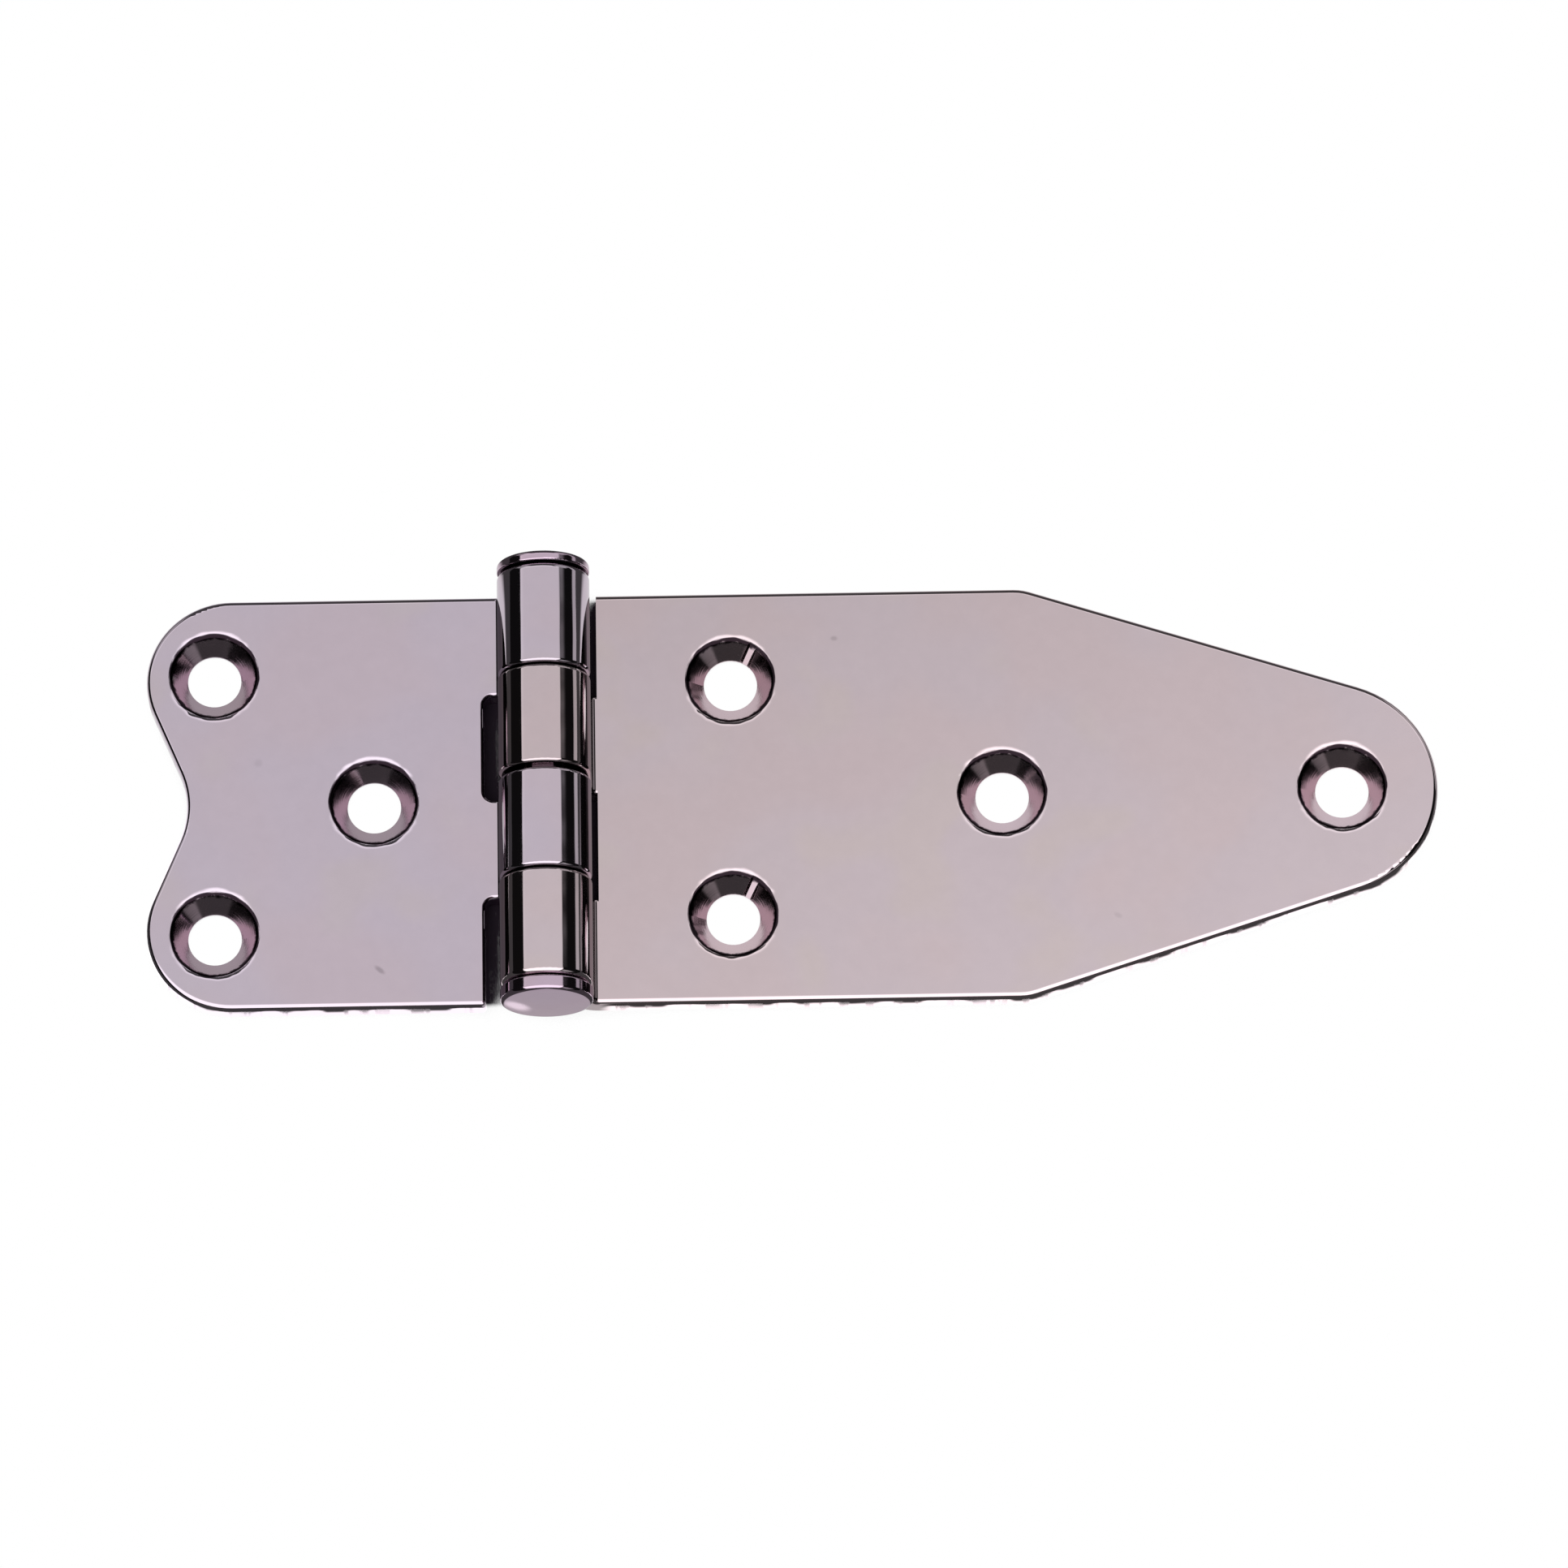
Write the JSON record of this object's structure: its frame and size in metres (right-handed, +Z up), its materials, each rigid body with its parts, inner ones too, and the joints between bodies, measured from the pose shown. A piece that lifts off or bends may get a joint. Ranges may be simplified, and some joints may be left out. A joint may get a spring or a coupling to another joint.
{
  "type": "boat hinge",
  "caption": "Polished strap hinge for boats: a short leaf with a bitten end, a long tapered leaf, a raised barrel between them and countersunk screw holes.",
  "frame": {"origin": "centre of the footprint of the open leaves, on the plane that they are screwed to", "axes": "+X along the leaves towards the tip of the strap, +Y along the barrel towards the capped end of the pin, +Z up out of the mounting plane"},
  "size_m": [0.1253, 0.0451, 0.0121],
  "materials": {
    "polished_sheet": "mirror polished stainless steel sheet",
    "polished_pin": "mirror polished stainless steel"
  },
  "bodies": {
    "strap": {"strap_leaf": "polished_sheet", "hinge_pin": "polished_pin", "pin_end_cap": "polished_pin"},
    "short": {"short_leaf": "polished_sheet"}
  },
  "joints": [
    {"name": "leaf_fold", "type": "hinge", "parent": "strap", "child": "short", "pos_m": [-0.02385, 0, 0.0076], "axis": [0, 1, 0], "range_deg": [-60, 196]}
  ]
}
